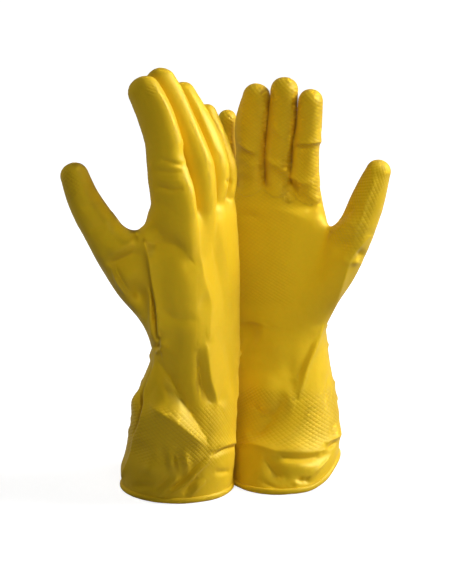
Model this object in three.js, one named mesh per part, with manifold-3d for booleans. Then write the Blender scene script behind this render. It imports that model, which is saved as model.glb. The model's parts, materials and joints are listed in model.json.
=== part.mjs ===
// A pair of long household rubber gloves standing upright on their cuffs, fingers up.
// Each glove is a thin dipped-latex skin with a cotton flock lining inside it and a rolled bead
// round the mouth of the cuff. Skin and lining are divided where they bend in use: the wrist, and
// the root and middle of each finger and thumb. Each division is a gap, thin at the hinge line
// and opening from it towards the palm and the back, that lets the next piece bend.
// Millimetres, +Z up. The origin is on the floor at the middle of the pair's footprint.
import * as THREE from "three";
import { mergeVertices } from "three/addons/utils/BufferGeometryUtils.js";
import Module from "manifold-3d";

const wasm = await Module();
wasm.setup();

// Walls
const LATEX = 0.55; // wall of the latex skin
const LAYER_GAP = 0.15; // clearance between the skin and the flock
const FLOCK = 0.35; // thickness of the flock lining

// Rolled bead; its widths are measured from the middle of the skin's wall
const BEAD_HEIGHT = 4.6;
const BEAD_OUT = 1.7; // reach outwards at the shoulder
const BEAD_BULGE = 0.1; // extra reach outwards at the widest height
const BEAD_IN = 1.3; // reach inwards
const BEAD_FLAT = 1.3; // width of the flat the glove rests on
const BEAD_SHOULDER_Z = 1.3; // height where the sides start
const BEAD_WIDEST_Z = BEAD_HEIGHT * 0.6;
const BEAD_TOP_SHARE = 0.45; // width left at the top, as a share of each reach

// Lower edges of the layers
const SKIN_FOOT = BEAD_HEIGHT + 0.3; // the skin starts just above the bead
const LINING_FOOT = SKIN_FOOT + 0.4;
const FOOT_CUTTER = { width: 200, depth: 40 }; // block that trims the cuff, depth below the floor

// Facets
const BODY_SIDES = 16;
const FINGER_SIDES = 8;
const BEAD_SIDES = 28;
const TIP_ANGLES = [34, 68]; // degrees round the fingertip at which it gets a ring

// Bending lines
const JOINT_GAP = 0.5; // clearance left at every bending line
const CUT_SLACK = 0.01; // radians added to each face's lean
const WRIST_CUT = 70; // half-size of the cutting wedge at the wrist
const DIGIT_CUT = 50; // and at the fingers and thumb

// Bend ranges in degrees from the standing pose: [towards the back, towards the palm].
const BEND = {
  wrist: [-30, 30],
  fingerRoot: [-20, 55],
  fingerMiddle: [-8, 70],
  thumbRoot: [-12, 28],
  thumbMiddle: [-12, 50],
};
const THUMB_CURL = { palm: 0.8, thumbwards: -0.6 }; // the way the thumb bends, across the hand
const THUMB_RUN_ROW = 2; // the thumb's general direction runs from this row to its last

const FLOOR_ROW = 1; // body row on the floor: it sizes the bead and is left out of the tube
const CROWN_ROW = 9; // first body row of the closed top
const CROWN_INSET_STEP = 0.4; // share of the inset by which each crown row drops further

// Moves the measured x and y so that the origin is in the middle of the pair's footprint.
const SHIFT = { x: -36.162, y: -15.901 };

// Each glove:
//   phi: direction, in degrees, from little finger to thumb
//   origin: x, y of the local centre of the hand
//   body rows: height, centre x, centre y, half-width across the hand, half-thickness, squareness
//   digit rows: distance towards the thumb, distance towards the palm, height,
//               half-width across, half-depth
//   root, middle: heights of a digit's bending lines
const GLOVES = {
  near: {
    phi: -125,
    origin: [11.4, -8],
    wristZ: 108,
    body: [
      [-6, -2.4, -5.4, 39.6, 41.2, 2.0],
      [0, -2.2, -5.4, 39.8, 41.2, 2.0],
      [25, 1.2, -5.2, 41, 40, 2.0],
      [55, 5.0, -5.4, 41, 38, 2.05],
      [80, 8.8, -6, 37.4, 32.6, 2.1],
      [103, 13.2, -6.6, 35, 28.4, 2.2],
      [130, 13.2, -7, 37.6, 26.6, 2.3],
      [160, 12.6, -7.5, 40.5, 25.8, 2.35],
      [190, 11.6, -8, 41, 25.2, 2.4],
      [208, 11, -8, 39.6, 22.4, 2.4],
      [219, 10.6, -8, 36, 16.6, 2.3],
      [225, 10.4, -8, 29, 8, 2.2],
    ],
    fingers: {
      index: {
        root: 237, middle: 263,
        rows: [
          [27.5, 0, 186, 8.6, 10.5], [29.4, -1.6, 218, 9.2, 11.8],
          [30, 1, 236, 9.3, 12.2], [30.1, 3.8, 250, 9.2, 12.2],
          [30.1, 7.2, 264, 9.1, 12.3], [30.2, 13, 281, 9.2, 12.3],
          [30.4, 18.6, 295, 9.0, 11.6],
        ],
      },
      middle: {
        root: 238, middle: 267,
        rows: [
          [9.6, -2, 186, 9.0, 10.5], [10, -10, 218, 9.5, 11.4],
          [10.1, -12.6, 240, 9.5, 11.6], [10.1, -6.6, 255, 9.5, 11.6],
          [10.1, 2.6, 270, 9.4, 11.6], [10.1, 11.4, 285.5, 9.4, 11.6],
          [10.2, 20.4, 301, 9.2, 11.2],
        ],
      },
      ring: {
        root: 237, middle: 264, rootBend: [-20, 48],
        rows: [
          [-9, -2, 186, 8.8, 10], [-9.5, -9.6, 218, 9.1, 11],
          [-9.6, -12.4, 237, 9.1, 11.2], [-9.6, -8, 252, 9.1, 11.2],
          [-9.6, 0, 267, 9.0, 11.2], [-9.6, 7.4, 278.5, 9.0, 11.0],
          [-9.6, 14.6, 288.5, 8.8, 10.6],
        ],
      },
      little: {
        root: 232, middle: 254,
        rows: [
          [-25, 0, 186, 7.4, 8.6], [-26.8, -7.4, 214, 7.6, 9.4],
          [-27.3, -9.4, 232, 7.6, 9.4], [-27.3, -6, 245, 7.6, 9.3],
          [-27.3, 0.2, 259, 7.5, 9.2], [-27.3, 7.6, 274, 7.4, 8.8],
        ],
      },
    },
    thumb: {
      root: 172, middle: 207,
      rows: [
        [19, 8, 126, 12, 12], [28.5, 18.4, 143, 14.2, 14],
        [37, 26.6, 159, 15.2, 14.8], [45.8, 33, 179, 15, 14.6],
        [53.6, 39.8, 198, 13.8, 13.4], [58.8, 46.2, 211.5, 12.6, 12.2],
        [62.6, 51.6, 224.5, 11.6, 11.4], [65.6, 56, 236, 10.8, 10.6],
      ],
    },
  },
  far: {
    phi: -15,
    origin: [70, 42],
    wristZ: 110,
    wristBend: [-30, 4], // the near glove stands in the way of a deeper bend towards the palm
    body: [
      [-6, 79.2, 28, 40, 49.6, 2.0],
      [0, 79, 28.6, 40, 49.4, 2.0],
      [22, 79, 33.4, 42, 43, 2.0],
      [48, 77.6, 38.6, 43, 37, 2.05],
      [80, 75.4, 42, 39.6, 31, 2.1],
      [112, 74.8, 43, 35.4, 26, 2.2],
      [140, 73, 43, 37.4, 23.4, 2.3],
      [170, 71.2, 42.6, 39, 22, 2.4],
      [196, 69.8, 42.2, 39.6, 19.6, 2.4],
      [209, 69.4, 42, 38.6, 16.4, 2.4],
      [217, 69.2, 42, 35.4, 12, 2.3],
      [223, 69.2, 42, 28, 6, 2.2],
    ],
    fingers: {
      index: {
        root: 238, middle: 261,
        rows: [
          [25, 0, 184, 8.4, 9.6], [25.6, 3, 214, 8.9, 10.2],
          [26.1, 5.4, 232, 9.0, 10.4], [27.2, 7.6, 248, 9.0, 10.4],
          [29.7, 11, 265, 9.2, 10.4], [31.7, 15, 283.6, 9.0, 9.8],
        ],
      },
      middle: {
        root: 238, middle: 266,
        rows: [
          [5.5, 0, 184, 9.2, 10], [5.2, 3.6, 214, 9.6, 10.4],
          [5.3, 6, 232, 9.8, 10.6], [6.8, 8.4, 249, 9.9, 10.6],
          [9.6, 12, 270, 10.1, 10.6], [12.1, 16, 291, 10.0, 10.2],
        ],
      },
      ring: {
        root: 237, middle: 263, rootBend: [-20, 45],
        rows: [
          [-14.4, 0, 184, 9.4, 10], [-15.2, 3, 212, 9.9, 10.4],
          [-15.9, 5.4, 230, 10.1, 10.6], [-15.4, 8, 247, 10.4, 10.6],
          [-13.0, 12, 266, 10.5, 10.6], [-9.6, 15.6, 285.4, 10.1, 10.2],
        ],
      },
      little: {
        root: 228, middle: 247, rootBend: [-20, 32],
        rows: [
          [-30.6, 0, 180, 7.0, 8.2], [-32.4, -1.4, 204, 7.4, 8.6],
          [-34.0, -3, 228, 7.3, 8.6], [-34.8, -2.6, 243, 7.2, 8.6],
          [-35.0, -1, 255, 7.1, 8.5], [-34.4, 1.6, 266, 7.0, 8.2],
        ],
      },
    },
    thumb: {
      root: 175, middle: 206,
      rows: [
        [21, 0, 122, 15, 14], [34, 3, 138, 16.4, 15],
        [46.4, 6, 154, 15.8, 14.6], [58.6, 9.6, 174, 14.6, 13.6],
        [68, 12.6, 194.6, 13.4, 12.6], [74.6, 14.8, 211, 12.6, 11.8],
        [79.4, 16, 224, 11.8, 11], [82.6, 17, 234, 10.8, 10.2],
      ],
    },
  },
};

const FINISHES = {
  latex: { color: 0xe0b81c, roughness: 0.38, metalness: 0 },
  bead: { color: 0xdcb01a, roughness: 0.36, metalness: 0 },
  flock: { color: 0xe9d489, roughness: 0.95, metalness: 0 },
};

// The layers of a glove. outer and inner are how far each face lies inside the measured surface.
const LINING_OUTER = LATEX + LAYER_GAP;
const LAYERS = [
  { name: "skin", outer: 0, inner: LATEX, foot: SKIN_FOOT, finish: "latex" },
  {
    name: "lining", outer: LINING_OUTER, inner: LINING_OUTER + FLOCK,
    foot: LINING_FOOT, finish: "flock",
  },
];

const UP = new THREE.Vector3(0, 0, 1);
const radians = THREE.MathUtils.degToRad;
const cross = (first, second) => new THREE.Vector3().crossVectors(first, second).normalize();

// ---- Meshes and solids ----

function solidFrom(geometry) {
  geometry.deleteAttribute("normal");
  geometry.deleteAttribute("uv");
  const merged = mergeVertices(geometry, 1e-4);
  const vertProperties = new Float32Array(merged.attributes.position.array);
  const triVerts = new Uint32Array(merged.index.array);
  const make = () =>
    new wasm.Manifold(new wasm.Mesh({ numProp: 3, vertProperties, triVerts }));
  const solid = make();
  if (solid.volume() >= 0) return solid;
  // The faces point inwards, so every triangle is turned over.
  for (let i = 0; i < triVerts.length; i += 3) {
    [triVerts[i + 1], triVerts[i + 2]] = [triVerts[i + 2], triVerts[i + 1]];
  }
  return make();
}

function solidFromTriangles(points, indices) {
  const positions = points.flatMap((point) => point.toArray());
  const geometry = new THREE.BufferGeometry();
  geometry.setAttribute("position", new THREE.Float32BufferAttribute(positions, 3));
  geometry.setIndex(indices);
  return solidFrom(geometry);
}

// A closed solid from rings of equal count, with a fan at each end.
function loft(rings) {
  const count = rings[0].length;
  const points = rings.flat();
  const indices = [];
  for (let i = 0; i + 1 < rings.length; i++) {
    for (let j = 0; j < count; j++) {
      const next = (j + 1) % count;
      const lower = i * count;
      const upper = lower + count;
      indices.push(lower + j, lower + next, upper + next);
      indices.push(lower + j, upper + next, upper + j);
    }
  }
  const fan = (ringIndex, flip) => {
    const centre = new THREE.Vector3();
    rings[ringIndex].forEach((point) => centre.addScaledVector(point, 1 / count));
    const hub = points.push(centre) - 1;
    const base = ringIndex * count;
    for (let j = 0; j < count; j++) {
      const next = (j + 1) % count;
      if (flip) indices.push(base + next, base + j, hub);
      else indices.push(base + j, base + next, hub);
    }
  };
  fan(0, true);
  fan(rings.length - 1, false);
  return solidFromTriangles(points, indices);
}

function flatShaded(solid) {
  const mesh = solid.getMesh();
  const indexed = new THREE.BufferGeometry();
  indexed.setAttribute("position", new THREE.BufferAttribute(mesh.vertProperties, 3));
  indexed.setIndex(new THREE.BufferAttribute(mesh.triVerts, 1));
  const geometry = indexed.toNonIndexed();
  geometry.computeVertexNormals();
  return geometry;
}

// ---- Curves and frames ----

// Smooth (Catmull-Rom) interpolation through rows of numbers, by place along the list.
function sampler(rows) {
  const last = rows.length - 1;
  return (place) => {
    const clamped = Math.min(Math.max(place, 0), last);
    const i = Math.min(Math.floor(clamped), last - 1);
    const t = clamped - i;
    const before = rows[Math.max(i - 1, 0)];
    const start = rows[i];
    const end = rows[i + 1];
    const after = rows[Math.min(i + 2, last)];
    return start.map((_, k) => {
      const slope = end[k] - before[k];
      const square = 2 * before[k] - 5 * start[k] + 4 * end[k] - after[k];
      const cube = 3 * start[k] - before[k] - 3 * end[k] + after[k];
      return 0.5 * (2 * start[k] + slope * t + square * t * t + cube * t * t * t);
    });
  };
}

// The hand's own horizontal directions and its centre on the floor.
function frameOf(glove) {
  const angle = radians(glove.phi);
  return {
    toThumb: new THREE.Vector3(Math.cos(angle), Math.sin(angle), 0),
    toPalm: new THREE.Vector3(Math.sin(angle), -Math.cos(angle), 0),
    centre: new THREE.Vector3(glove.origin[0] + SHIFT.x, glove.origin[1] + SHIFT.y, 0),
  };
}

// A point offset from start along two directions.
const offsetBy = (start, first, firstDistance, second, secondDistance) =>
  start.clone().addScaledVector(first, firstDistance).addScaledVector(second, secondDistance);

// The centre and half-sizes of a digit, by place along its rows.
function digitCurve(rows, { centre, toThumb, toPalm }) {
  const sample = sampler(rows);
  return (place) => {
    const [thumbwards, palmwards, z, halfWidth, halfDepth] = sample(place);
    const point = offsetBy(centre, toThumb, thumbwards, toPalm, palmwards).setZ(z);
    return { centre: point, halfWidth, halfDepth };
  };
}

// ---- Shapes, with their surfaces taken in by an inset ----

// The cuff and hand as one tube of superellipse rings, closed over the knuckles.
function bodySolid(glove, frame, inset) {
  const rings = [];
  glove.body.forEach(([z, x, y, halfWidth, halfThickness, squareness], i) => {
    if (i === FLOOR_ROW) return;
    const drop = i >= CROWN_ROW ? inset * (i - CROWN_ROW + 1) * CROWN_INSET_STEP : 0;
    const centre = new THREE.Vector3(x + SHIFT.x, y + SHIFT.y, z - drop);
    const squared = (value) => Math.sign(value) * Math.abs(value) ** (2 / squareness);
    const ring = [];
    for (let j = 0; j < BODY_SIDES; j++) {
      const angle = (2 * Math.PI * j) / BODY_SIDES;
      const thumbwards = (halfWidth - inset) * squared(Math.cos(angle));
      const palmwards = (halfThickness - inset) * squared(Math.sin(angle));
      ring.push(offsetBy(centre, frame.toThumb, thumbwards, frame.toPalm, palmwards));
    }
    rings.push(ring);
  });
  return loft(rings);
}

// A ring of a digit, square to its tangent.
function digitRing(centre, tangent, across, halfWidth, halfDepth) {
  const side = across.clone().addScaledVector(tangent, -across.dot(tangent)).normalize();
  const deep = cross(tangent, side);
  return Array.from({ length: FINGER_SIDES }, (_, j) => {
    const angle = (2 * Math.PI * (j + 0.5)) / FINGER_SIDES;
    return offsetBy(centre, side, halfWidth * Math.cos(angle), deep, halfDepth * Math.sin(angle));
  });
}

// A finger or thumb from inside the hand to its rounded tip.
function digitSolid({ rows, root }, frame, inset) {
  const curve = digitCurve(rows, frame);
  const across = root.hinge;
  const last = rows.length - 1;
  // The first row, then every second row counted back from the last.
  const stations = [0];
  for (let i = last % 2 ? 1 : 2; i <= last; i += 2) stations.push(i);

  let tangent;
  const rings = stations.map((place) => {
    const { centre, halfWidth, halfDepth } = curve(place);
    const behind = curve(Math.max(place - 0.1, 0)).centre;
    const ahead = curve(Math.min(place + 0.1, last)).centre;
    tangent = ahead.sub(behind).normalize();
    return digitRing(centre, tangent, across, halfWidth - inset, halfDepth - inset);
  });

  const tip = curve(last);
  const reach = (tip.halfWidth + tip.halfDepth) / 2 - inset;
  for (const degrees of TIP_ANGLES) {
    const angle = radians(degrees);
    const centre = tip.centre.clone().addScaledVector(tangent, reach * Math.sin(angle));
    const halfWidth = (tip.halfWidth - inset) * Math.cos(angle);
    const halfDepth = (tip.halfDepth - inset) * Math.cos(angle);
    rings.push(digitRing(centre, tangent, across, halfWidth, halfDepth));
  }
  return loft(rings);
}

// The rolled bead: an eight-point profile swept round the ellipse of the skin's middle.
function beadSolid(glove, { toThumb, toPalm }) {
  const [, x, y, halfWidth, halfThickness] = glove.body[FLOOR_ROW];
  const radiusAcross = halfWidth - LATEX / 2;
  const radiusDeep = halfThickness - LATEX / 2;
  const centre = new THREE.Vector3(x + SHIFT.x, y + SHIFT.y, 0);
  // Distance outwards, height
  const profile = [
    [-BEAD_FLAT / 2, 0],
    [BEAD_FLAT / 2, 0],
    [BEAD_OUT, BEAD_SHOULDER_Z],
    [BEAD_OUT + BEAD_BULGE, BEAD_WIDEST_Z],
    [BEAD_OUT * BEAD_TOP_SHARE, BEAD_HEIGHT],
    [-BEAD_IN * BEAD_TOP_SHARE, BEAD_HEIGHT],
    [-BEAD_IN, BEAD_WIDEST_Z],
    [-BEAD_IN, BEAD_SHOULDER_Z],
  ];
  const count = profile.length;
  const points = [];
  const indices = [];
  for (let j = 0; j < BEAD_SIDES; j++) {
    const angle = (2 * Math.PI * j) / BEAD_SIDES;
    const cos = Math.cos(angle);
    const sin = Math.sin(angle);
    const outwards = offsetBy(
      new THREE.Vector3(), toThumb, cos / radiusAcross, toPalm, sin / radiusDeep,
    ).normalize();
    const base = offsetBy(centre, toThumb, radiusAcross * cos, toPalm, radiusDeep * sin);
    for (const [distance, z] of profile) {
      points.push(base.clone().addScaledVector(outwards, distance).setZ(z));
    }
    const here = j * count;
    const there = ((j + 1) % BEAD_SIDES) * count;
    for (let i = 0; i < count; i++) {
      const next = (i + 1) % count;
      indices.push(here + i, there + i, there + next);
      indices.push(here + i, there + next, here + next);
    }
  }
  return solidFromTriangles(points, indices);
}

// ---- Bending lines ----

// A joint has a pivot, the direction along the limb there, a hinge direction about which a
// positive turn bends the piece towards the palm, a bend range and the size of its cutter.
function wristOf(glove, frame) {
  const sample = sampler(glove.body);
  let place = FLOOR_ROW;
  while (sample(place)[0] < glove.wristZ) place += 0.01;
  const [, x, y] = sample(place);
  return {
    pivot: new THREE.Vector3(x + SHIFT.x, y + SHIFT.y, glove.wristZ),
    along: UP,
    hinge: frame.toThumb,
    range: glove.wristBend ?? BEND.wrist,
    size: WRIST_CUT,
  };
}

// The joint where a digit's centre line reaches height z, found by halving.
function digitJoint(rows, frame, z, hinge, range) {
  const curve = digitCurve(rows, frame);
  let low = 0;
  let high = rows.length - 1;
  for (let i = 0; i < 40; i++) {
    const middle = (low + high) / 2;
    if (curve(middle).centre.z < z) low = middle;
    else high = middle;
  }
  const along = curve(low + 0.05).centre.sub(curve(low - 0.05).centre);
  along.addScaledVector(hinge, -along.dot(hinge)).normalize();
  return { pivot: curve(low).centre, along, hinge, range, size: DIGIT_CUT };
}

function digitOf(name, { rows, root, middle }, frame, hinge, rootBend, middleBend) {
  return {
    name,
    rows,
    root: digitJoint(rows, frame, root, hinge, rootBend),
    middle: digitJoint(rows, frame, middle, hinge, middleBend),
  };
}

// The thumb's hinge is square to its run and to the way it curls across the hand.
function thumbHinge(rows, frame) {
  const curve = digitCurve(rows, frame);
  const run = curve(rows.length - 1).centre.sub(curve(THUMB_RUN_ROW).centre).normalize();
  const curl = offsetBy(
    new THREE.Vector3(), frame.toPalm, THUMB_CURL.palm, frame.toThumb, THUMB_CURL.thumbwards,
  );
  curl.addScaledVector(run, -curl.dot(run)).normalize();
  return cross(run, curl);
}

function digitsOf({ fingers, thumb }, frame) {
  const digits = Object.entries(fingers).map(([name, finger]) => {
    const rootBend = finger.rootBend ?? BEND.fingerRoot;
    return digitOf(name, finger, frame, frame.toThumb, rootBend, BEND.fingerMiddle);
  });
  const hinge = thumbHinge(thumb.rows, frame);
  digits.push(digitOf("thumb", thumb, frame, hinge, BEND.thumbRoot, BEND.thumbMiddle));
  return digits;
}

// Everything beyond (side +1) or before (side -1) a bending line. The face leans back by half
// the bend on each side of the pivot, so that two neighbours close at the end of the range.
function cutter({ pivot, along, hinge, range, size }, side) {
  const bendDirection = cross(hinge, along);
  const palmLean = radians(range[1]) / 2 + CUT_SLACK;
  const backLean = radians(-range[0]) / 2 + CUT_SLACK;
  const edge = -JOINT_GAP / 2;
  const outline = [
    [0, edge],
    [size, edge - size * Math.tan(palmLean)],
    [size, size * 3],
    [-size, size * 3],
    [-size, edge - size * Math.tan(backLean)],
  ];
  const shape = new THREE.Shape(outline.map(([x, y]) => new THREE.Vector2(x, side * y)));
  shape.closePath();
  const geometry = new THREE.ExtrudeGeometry(shape, { depth: size * 2, bevelEnabled: false });
  geometry.translate(0, 0, -size);
  const placing = new THREE.Matrix4().makeBasis(bendDirection, along, hinge.clone().negate());
  geometry.applyMatrix4(placing.setPosition(pivot));
  return solidFrom(geometry);
}

// Everything below the foot of a layer.
function footCutter({ x, y }, foot) {
  const { width, depth } = FOOT_CUTTER;
  const box = new THREE.BoxGeometry(width, width, depth + foot);
  return solidFrom(box.translate(x, y, (foot - depth) / 2));
}

// ---- Assembly ----

export const joints = [];
const group = new THREE.Group();
group.name = "glove_pair";

// Adds the largest connected part of a solid.
function addPiece(name, solid, finish) {
  const [largest] = solid.decompose().sort((a, b) => b.volume() - a.volume());
  const material = new THREE.MeshStandardMaterial(FINISHES[finish]);
  const mesh = new THREE.Mesh(flatShaded(largest), material);
  mesh.name = name;
  group.add(mesh);
}

function recordJoint(glove, joint, { pivot, hinge, range }) {
  joints.push({ glove, joint, pivot: pivot.toArray(), axis: hinge.toArray(), range });
}

function addLayer(gloveName, glove, frame, wrist, digits, layer) {
  const add = (part, solid) => addPiece(`${gloveName}_${part}_${layer.name}`, solid, layer.finish);
  const outer = bodySolid(glove, frame, layer.outer);
  const inner = bodySolid(glove, frame, layer.inner);
  const below = footCutter(wrist.pivot, layer.foot);
  add("cuff", outer.subtract(inner).subtract(cutter(wrist, 1)).subtract(below));

  let hand = outer;
  let hollow = inner;
  for (const digit of digits) {
    const { name, root, middle } = digit;
    const full = digitSolid(digit, frame, layer.outer);
    const core = digitSolid(digit, frame, layer.inner);
    hand = hand.add(full.subtract(cutter(root, 1)));
    hollow = hollow.add(core);
    const shell = full.subtract(core);
    add(`${name}_base`, shell.subtract(cutter(root, -1)).subtract(cutter(middle, 1)));
    add(`${name}_tip`, shell.subtract(cutter(middle, -1)));
  }
  add("palm", hand.subtract(hollow).subtract(cutter(wrist, -1)));
}

for (const [name, glove] of Object.entries(GLOVES)) {
  const frame = frameOf(glove);
  const wrist = wristOf(glove, frame);
  const digits = digitsOf(glove, frame);
  recordJoint(name, "wrist", wrist);
  for (const digit of digits) {
    recordJoint(name, `${digit.name}_root`, digit.root);
    recordJoint(name, `${digit.name}_middle`, digit.middle);
  }
  for (const layer of LAYERS) addLayer(name, glove, frame, wrist, digits, layer);
  addPiece(`${name}_cuff_bead`, beadSolid(glove, frame), "bead");
}

export default group;
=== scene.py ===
"""A pair of long yellow household rubber gloves standing on their cuffs.

Each glove is one continuous latex surface: the zero level of a smooth union of a hand tube and
digit tubes, folded, embossed, given its wall and cut into pieces at the frame's bends.
Lengths are millimetres until the meshes are made. +Z is up, the cuffs stand at z = 0 and the
camera looks along +Y. The near glove stands in front on the left, its palm turned to the left
and back; the far glove stands behind on the right, its palm to the front and its thumb right.
"""
import itertools
import json
import math
from types import SimpleNamespace

import bpy
import numpy as np
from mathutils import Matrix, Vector


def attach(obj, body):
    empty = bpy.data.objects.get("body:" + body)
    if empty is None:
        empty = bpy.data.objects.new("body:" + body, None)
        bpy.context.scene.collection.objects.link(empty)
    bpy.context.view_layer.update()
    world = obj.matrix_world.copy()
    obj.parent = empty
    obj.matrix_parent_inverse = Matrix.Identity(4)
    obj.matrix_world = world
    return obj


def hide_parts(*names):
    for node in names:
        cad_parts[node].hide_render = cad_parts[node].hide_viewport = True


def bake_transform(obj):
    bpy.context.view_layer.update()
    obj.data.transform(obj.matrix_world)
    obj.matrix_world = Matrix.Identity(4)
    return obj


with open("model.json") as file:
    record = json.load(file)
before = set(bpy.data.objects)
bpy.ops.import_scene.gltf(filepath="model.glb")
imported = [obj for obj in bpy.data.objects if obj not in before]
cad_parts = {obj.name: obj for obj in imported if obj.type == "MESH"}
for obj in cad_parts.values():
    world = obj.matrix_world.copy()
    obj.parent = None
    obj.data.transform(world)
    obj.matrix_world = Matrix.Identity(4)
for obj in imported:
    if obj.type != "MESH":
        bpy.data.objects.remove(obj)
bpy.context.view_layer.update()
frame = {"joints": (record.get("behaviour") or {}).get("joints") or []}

MM = 0.001
OFFSET = np.array([-36.162, -15.901])  # from the plan of the tables below to the frame's x, y
GRID = 1.6  # spacing of the surface grid, halved once afterwards
LATEX = 0.55  # thickness of the skin
LINING_OUT, LINING_IN = 0.72, 1.08  # depths of the lining's two faces under the skin
RIM_Z = 2.4  # where the skin enters the rolled bead

VIEW_DISTANCE = 1500.0
VIEW_DIP = 13.15  # degrees the camera looks down
EYE = np.array([34.8 + OFFSET[0], -VIEW_DISTANCE + OFFSET[1], 500.0])

# turn: direction of "towards the thumb" in plan, degrees from +X; origin: the hand's axis in plan
# web: height and extra blend of the curve between thumb and hand
# thumb_grip: least facing, how far the tip relaxes it, and the share of the length where it starts
# body rows: height, centre x, centre y, half-width, half-thickness, squareness
# digit rows: towards the thumb, towards the palm, height, half-width, half-depth
GLOVES = {
    "near": {
        "turn": -125, "origin": (11.4, -8), "web": (189.0, 21.0),
        "fold_scale": 1.9, "seed": 0, "thumb_grip": (0.15, 0.35, 0.62),
        "body": [
            [-6, -1.4, -4.8, 40.8, 41.8, 2.0], [25, 1.4, -5.0, 41, 40.3, 2.0],
            [55, 5.0, -6.2, 41, 37.2, 2.05], [80, 8.8, -6, 36.9, 32.2, 2.3],
            [103, 13.2, -6.6, 33.8, 27.4, 2.7], [130, 13.2, -7, 35.8, 25.3, 2.9],
            [160, 12.6, -7.5, 38.2, 24.3, 3.0], [190, 11.6, -8, 38.4, 23.4, 3.0],
            [208, 11, -7.6, 37.2, 21.8, 2.9], [217, 10.6, -8, 34, 15.2, 2.6],
            [223, 10.4, -8, 27, 6, 2.2], [226, 10.4, -8, 10, 1.5, 2.0]],
        "digits": {
            "index": [
                [27.5, -3.4, 186, 8.4, 16.4], [29.2, -3.8, 218, 9.3, 17.4],
                [29.8, -0.2, 236, 9.5, 15.8], [29.9, 2.6, 250, 9.5, 14.0],
                [29.9, 4.6, 264, 9.5, 13.5], [30.0, 10.8, 281, 9.8, 13.6],
                [30.2, 19.4, 296.4, 9.8, 12.4]],
            "middle": [
                [9.6, -7, 186, 8.8, 14.6], [10.2, -11.6, 218, 10.1, 14.8],
                [10.3, -12.0, 240, 10.3, 12.8], [10.2, -6.2, 255, 10.1, 11.9],
                [10.1, 2.6, 270, 9.9, 11.8], [10.1, 11.2, 285.5, 9.8, 11.5],
                [10.2, 20.7, 301, 9.4, 10.6]],
            "ring": [
                [-9, -2, 186, 8.6, 9.6], [-9.5, -9.2, 218, 9.4, 10.8],
                [-9.6, -12.4, 237, 9.5, 11.3], [-9.6, -8, 252, 9.5, 11.3],
                [-9.6, 0, 267, 9.5, 11.3], [-9.6, 8.0, 278.8, 9.4, 10.9],
                [-9.6, 15.8, 289.3, 9.0, 10.6]],
            "little": [
                [-25, 0, 186, 6.8, 8.0], [-26.8, -7, 214, 7.4, 9.0],
                [-27.3, -9.4, 232, 7.5, 9.3], [-27.3, -6, 245, 7.5, 9.3],
                [-27.3, 0.2, 259, 7.5, 9.2], [-27.3, 7.6, 274, 7.3, 8.7]],
            "thumb": [
                [19, 8, 126, 11, 11], [28.5, 18.0, 143, 12.6, 12.6],
                [36.6, 25.8, 159, 14.0, 13.9], [45.6, 32.5, 179, 14.8, 14.5],
                [53.6, 39.8, 198, 13.8, 13.4], [58.8, 46.2, 211.5, 12.6, 12.2],
                [62.6, 51.3, 224.5, 11.3, 11.2], [65.4, 55.1, 237.6, 10.1, 9.9]],
        },
    },
    "far": {
        "turn": -15, "origin": (70, 42), "web": (194.0, 11.0),
        "fold_scale": 1.6, "seed": 1, "thumb_grip": (0.3, 0.25, 0.52),
        "body": [
            [-6, 79.4, 23.0, 40.5, 55.0, 2.0], [22, 79, 30.8, 42, 45.6, 2.0],
            [48, 77.6, 38.6, 43, 37, 2.05], [80, 75.4, 42, 39.6, 31, 2.2],
            [112, 74.8, 43, 35.3, 25.6, 2.5], [140, 73, 43, 37.1, 22.8, 2.7],
            [170, 71.2, 42.6, 38.5, 21.4, 2.8], [196, 70.2, 42.2, 39.1, 18.8, 2.8],
            [208, 69.4, 42, 37.3, 15.6, 2.7], [216, 69.2, 42, 33.4, 11, 2.4],
            [221, 69.2, 42, 25, 5, 2.2], [223.5, 69.2, 42, 10, 1.5, 2.0]],
        "digits": {
            "index": [
                [25.4, 0, 184, 9.0, 9.0], [25.95, 3, 214, 10.45, 9.8],
                [26.0, 5.4, 232, 10.2, 10.3], [26.8, 7.6, 248, 9.8, 10.4],
                [29.5, 11, 265, 9.5, 10.4], [31.5, 15, 283.6, 9.0, 9.6]],
            "middle": [
                [5.6, 0, 184, 9.0, 9.4], [5.5, 3.6, 214, 9.7, 10.0],
                [5.7, 6, 232, 10.0, 10.5], [7.2, 8.4, 249, 10.4, 10.6],
                [10.0, 12, 270, 10.5, 10.6], [12.3, 16, 291, 10.1, 10.0]],
            "ring": [
                [-14.4, 0, 184, 9.2, 9.4], [-15.0, 3, 212, 10.0, 10.0],
                [-15.3, 5.4, 230, 10.7, 10.5], [-14.6, 8, 247, 11.1, 10.6],
                [-13.1, 12, 266, 12.1, 10.6], [-8.7, 15.6, 285.6, 10.0, 10.0]],
            "little": [
                [-30.6, 0, 180, 6.6, 7.6], [-32.4, -1.4, 204, 7.1, 8.2],
                [-34.0, -3, 228, 7.2, 8.5], [-34.8, -2.6, 243, 7.1, 8.5],
                [-35.0, -1, 255, 7.0, 8.4], [-34.4, 1.6, 266, 6.8, 8.0]],
            "thumb": [
                [21, 0, 122, 13, 12], [34, 3, 138, 15.4, 14],
                [46.4, 6, 154, 15.4, 14.2], [58.3, 9.6, 174, 14.4, 13.4],
                [67.4, 12.6, 194.6, 13.4, 12.6], [73.9, 14.8, 211, 12.6, 11.8],
                [78.9, 16, 225, 10.7, 10.4], [82.7, 17, 235.0, 8.7, 8.9]],
        },
    },
}
DIGITS = ["index", "middle", "ring", "little", "thumb"]
PART_LETTERS = "BIMRLT"  # body and digits, in the order of the distance columns
JOINTS = {j["name"]: j for j in frame["joints"]}
CORNERS = list(itertools.product((0, 1), repeat=3))  # of a grid cell

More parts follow.
